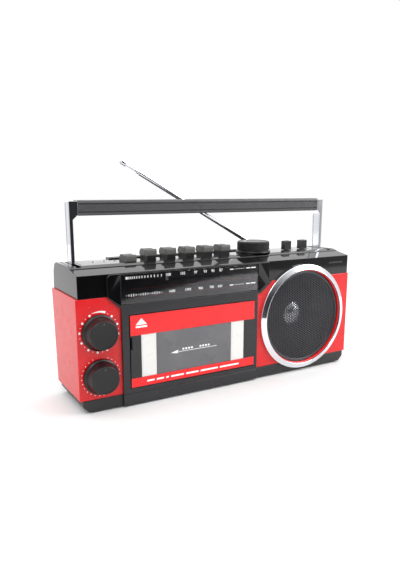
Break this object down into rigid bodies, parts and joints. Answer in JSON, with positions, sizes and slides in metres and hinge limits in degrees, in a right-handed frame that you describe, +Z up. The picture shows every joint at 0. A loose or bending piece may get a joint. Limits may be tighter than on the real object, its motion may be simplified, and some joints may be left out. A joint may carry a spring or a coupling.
{
  "type": "radio cassette player",
  "caption": "Portable radio and cassette player in red and black with a round chrome-ringed loudspeaker, folding handle, rod aerial and a row of tape keys.",
  "frame": {"origin": "under the middle of the overall box, on the surface that the rubber feet stand on", "axes": "+X to the right seen from the front, +Y to the back, +Z up"},
  "size_m": [0.312, 0.0844, 0.2221],
  "materials": {
    "red_gloss": "glossy moulded",
    "black_gloss": "polished moulded",
    "black_satin": "fine moulded texture",
    "charcoal_plastic": "satin moulded",
    "key_grey": "satin moulded",
    "knob_black": "matt moulded",
    "white_plastic": "satin moulded",
    "red_trim": "glossy moulded",
    "smoked_clear": "clear smoked plastic",
    "dial_print": "printed sheet",
    "chrome_trim": "polished plating",
    "black_mesh": "perforated, painted",
    "steel": "plain sheet",
    "brass_wheel": "turned",
    "magnet_iron": "ferrite",
    "paper_cone": "pressed paper",
    "silver_dome": "pressed foil",
    "foot_rubber": "moulded",
    "belt_rubber": "ground",
    "board_green": "lacquered board",
    "lamp_red": "clear tinted lens"
  },
  "bodies": {
    "cabinet": {"front_cabinet": "red_gloss", "top_cover": "black_gloss", "base_tray": "black_satin", "back_cover": "black_satin", "cabinet_screws": "steel", "rubber_feet": "foot_rubber", "centre_panel": "charcoal_plastic", "dial_bezel": "black_gloss", "dial_window": "smoked_clear", "dial_scale": "dial_print", "speaker_ring": "chrome_trim", "speaker_trim": "red_trim", "speaker_grille": "black_mesh", "speaker_frame": "steel", "speaker_cone": "paper_cone", "dust_cap": "silver_dome", "speaker_magnet": "magnet_iron", "tone_controls": "steel", "tuning_capacitor": "white_plastic", "slide_switches": "steel", "key_frame": "steel", "tape_chassis": "steel", "drive_belt": "belt_rubber", "tape_motor": "steel", "indicator_lamps": "lamp_red", "circuit_board": "board_green", "battery_contacts": "steel", "power_inlet": "black_satin"},
    "volume_knob": {"volume_knob": "knob_black"},
    "bass_knob": {"bass_knob": "knob_black"},
    "tuning_knob": {"tuning_knob": "knob_black"},
    "dial_pointer": {"dial_pointer": "white_plastic"},
    "function_switch": {"function_switch_cap": "charcoal_plastic"},
    "band_switch": {"band_switch_cap": "charcoal_plastic"},
    "pause_key": {"pause_key": "key_grey"},
    "stop_eject_key": {"stop_eject_key": "key_grey"},
    "fast_forward_key": {"fast_forward_key": "key_grey"},
    "rewind_key": {"rewind_key": "key_grey"},
    "play_key": {"play_key": "key_grey"},
    "record_key": {"record_key": "key_grey"},
    "door": {"cassette_door": "charcoal_plastic", "door_window": "smoked_clear", "door_strips": "white_plastic", "door_trim": "red_trim", "cassette_holder": "black_satin", "door_hinge_pin": "steel"},
    "battery_door": {"battery_door": "black_satin"},
    "handle": {"handle_grip": "knob_black", "left_handle_arm": "chrome_trim", "right_handle_arm": "chrome_trim"},
    "aerial_swivel": {"aerial_base": "black_satin"},
    "aerial_outer": {"aerial_tube": "chrome_trim"},
    "aerial_mid": {"aerial_middle": "chrome_trim"},
    "aerial_inner": {"aerial_rod": "chrome_trim"},
    "supply_spindle": {"supply_spindle": "white_plastic"},
    "takeup_spindle": {"takeup_spindle": "white_plastic"},
    "capstan": {"capstan_flywheel": "brass_wheel"},
    "motor_pulley": {"motor_pulley": "brass_wheel"},
    "pinch_roller": {"pinch_roller": "belt_rubber"},
    "tape_heads": {"tape_heads": "steel"}
  },
  "joints": [
    {"name": "volume_turn", "type": "hinge", "parent": "cabinet", "child": "volume_knob", "pos_m": [-0.1361, -0.03525, 0.0725], "axis": [0, -1, 0], "range_deg": [-150, 150]},
    {"name": "bass_turn", "type": "hinge", "parent": "cabinet", "child": "bass_knob", "pos_m": [-0.1361, -0.03525, 0.0328], "axis": [0, -1, 0], "range_deg": [-150, 150]},
    {"name": "tuning_turn", "type": "hinge", "parent": "cabinet", "child": "tuning_knob", "pos_m": [0.0515, 0.00775, 0.1315], "axis": [0, 0, 1], "range_deg": [0, 300]},
    {"name": "pointer_slide", "type": "slide", "parent": "cabinet", "child": "dial_pointer", "axis": [1, 0, 0], "range_m": [0, 0.052]},
    {"name": "function_slide", "type": "slide", "parent": "cabinet", "child": "function_switch", "axis": [1, 0, 0], "range_m": [0, 0.008]},
    {"name": "band_slide", "type": "slide", "parent": "cabinet", "child": "band_switch", "axis": [1, 0, 0], "range_m": [0, 0.008]},
    {"name": "pause_press", "type": "slide", "parent": "cabinet", "child": "pause_key", "axis": [0, 0, -1], "range_m": [0, 0.004], "stiffness_N_per_m": 400, "springref_m": -0.002},
    {"name": "stop_eject_press", "type": "slide", "parent": "cabinet", "child": "stop_eject_key", "axis": [0, 0, -1], "range_m": [0, 0.004], "stiffness_N_per_m": 400, "springref_m": -0.002},
    {"name": "fast_forward_press", "type": "slide", "parent": "cabinet", "child": "fast_forward_key", "axis": [0, 0, -1], "range_m": [0, 0.004], "stiffness_N_per_m": 400, "springref_m": -0.002},
    {"name": "rewind_press", "type": "slide", "parent": "cabinet", "child": "rewind_key", "axis": [0, 0, -1], "range_m": [0, 0.004], "stiffness_N_per_m": 400, "springref_m": -0.002},
    {"name": "play_press", "type": "slide", "parent": "cabinet", "child": "play_key", "axis": [0, 0, -1], "range_m": [0, 0.004], "stiffness_N_per_m": 400, "springref_m": -0.002},
    {"name": "record_press", "type": "slide", "parent": "cabinet", "child": "record_key", "axis": [0, 0, -1], "range_m": [0, 0.004], "stiffness_N_per_m": 400, "springref_m": -0.002},
    {"name": "heads_lift", "type": "slide", "parent": "cabinet", "child": "tape_heads", "axis": [0, 0, 1], "range_m": [0, 0.005]},
    {"name": "door_open", "type": "hinge", "parent": "cabinet", "child": "door", "pos_m": [-0.0416, -0.03065, 0.0195], "axis": [1, 0, 0], "range_deg": [0, 28]},
    {"name": "battery_door_open", "type": "hinge", "parent": "cabinet", "child": "battery_door", "pos_m": [-0.002, 0.03655, 0.0197], "axis": [-1, 0, 0], "range_deg": [0, 80]},
    {"name": "handle_fold", "type": "hinge", "parent": "cabinet", "child": "handle", "pos_m": [0, 0.0128, 0.1155], "axis": [1, 0, 0], "range_deg": [-7, 45]},
    {"name": "aerial_turn", "type": "hinge", "parent": "cabinet", "child": "aerial_swivel", "pos_m": [0.0697, 0.03075, 0.1285], "axis": [0, 0, -1], "range_deg": [0, 180]},
    {"name": "aerial_tilt", "type": "hinge", "parent": "aerial_swivel", "child": "aerial_outer", "pos_m": [0.0697, 0.03075, 0.1325], "axis": [0, 1, 0], "range_deg": [-28.9, 60]},
    {"name": "aerial_extend_outer", "type": "slide", "parent": "aerial_outer", "child": "aerial_mid", "axis": [-0.8752, 0, 0.4837], "range_m": [0, 0.135]},
    {"name": "aerial_extend_inner", "type": "slide", "parent": "aerial_mid", "child": "aerial_inner", "axis": [-0.8752, 0, 0.4837], "range_m": [0, 0.135]},
    {"name": "supply_spin", "type": "hinge", "parent": "cabinet", "child": "supply_spindle", "pos_m": [-0.06285, -0.01325, 0.0515], "axis": [0, 1, 0], "continuous": true},
    {"name": "takeup_spin", "type": "hinge", "parent": "cabinet", "child": "takeup_spindle", "pos_m": [-0.02035, -0.01325, 0.0515], "axis": [0, 1, 0], "continuous": true},
    {"name": "capstan_spin", "type": "hinge", "parent": "cabinet", "child": "capstan", "pos_m": [-0.0211, -0.00825, 0.0315], "axis": [0, 1, 0], "continuous": true},
    {"name": "pulley_spin", "type": "hinge", "parent": "cabinet", "child": "motor_pulley", "pos_m": [-0.092, -0.00825, 0.0355], "axis": [0, 1, 0], "continuous": true},
    {"name": "roller_spin", "type": "hinge", "parent": "cabinet", "child": "pinch_roller", "pos_m": [-0.0125, -0.02025, 0.024], "axis": [0, 1, 0], "continuous": true}
  ],
  "couplings": [
    {"joint": "pointer_slide", "follows": "tuning_turn", "m_per_rad": 0.00993},
    {"joint": "heads_lift", "follows": "play_press", "ratio": 1.25},
    {"joint": "capstan_spin", "follows": "pulley_spin", "ratio": 0.28037}
  ]
}
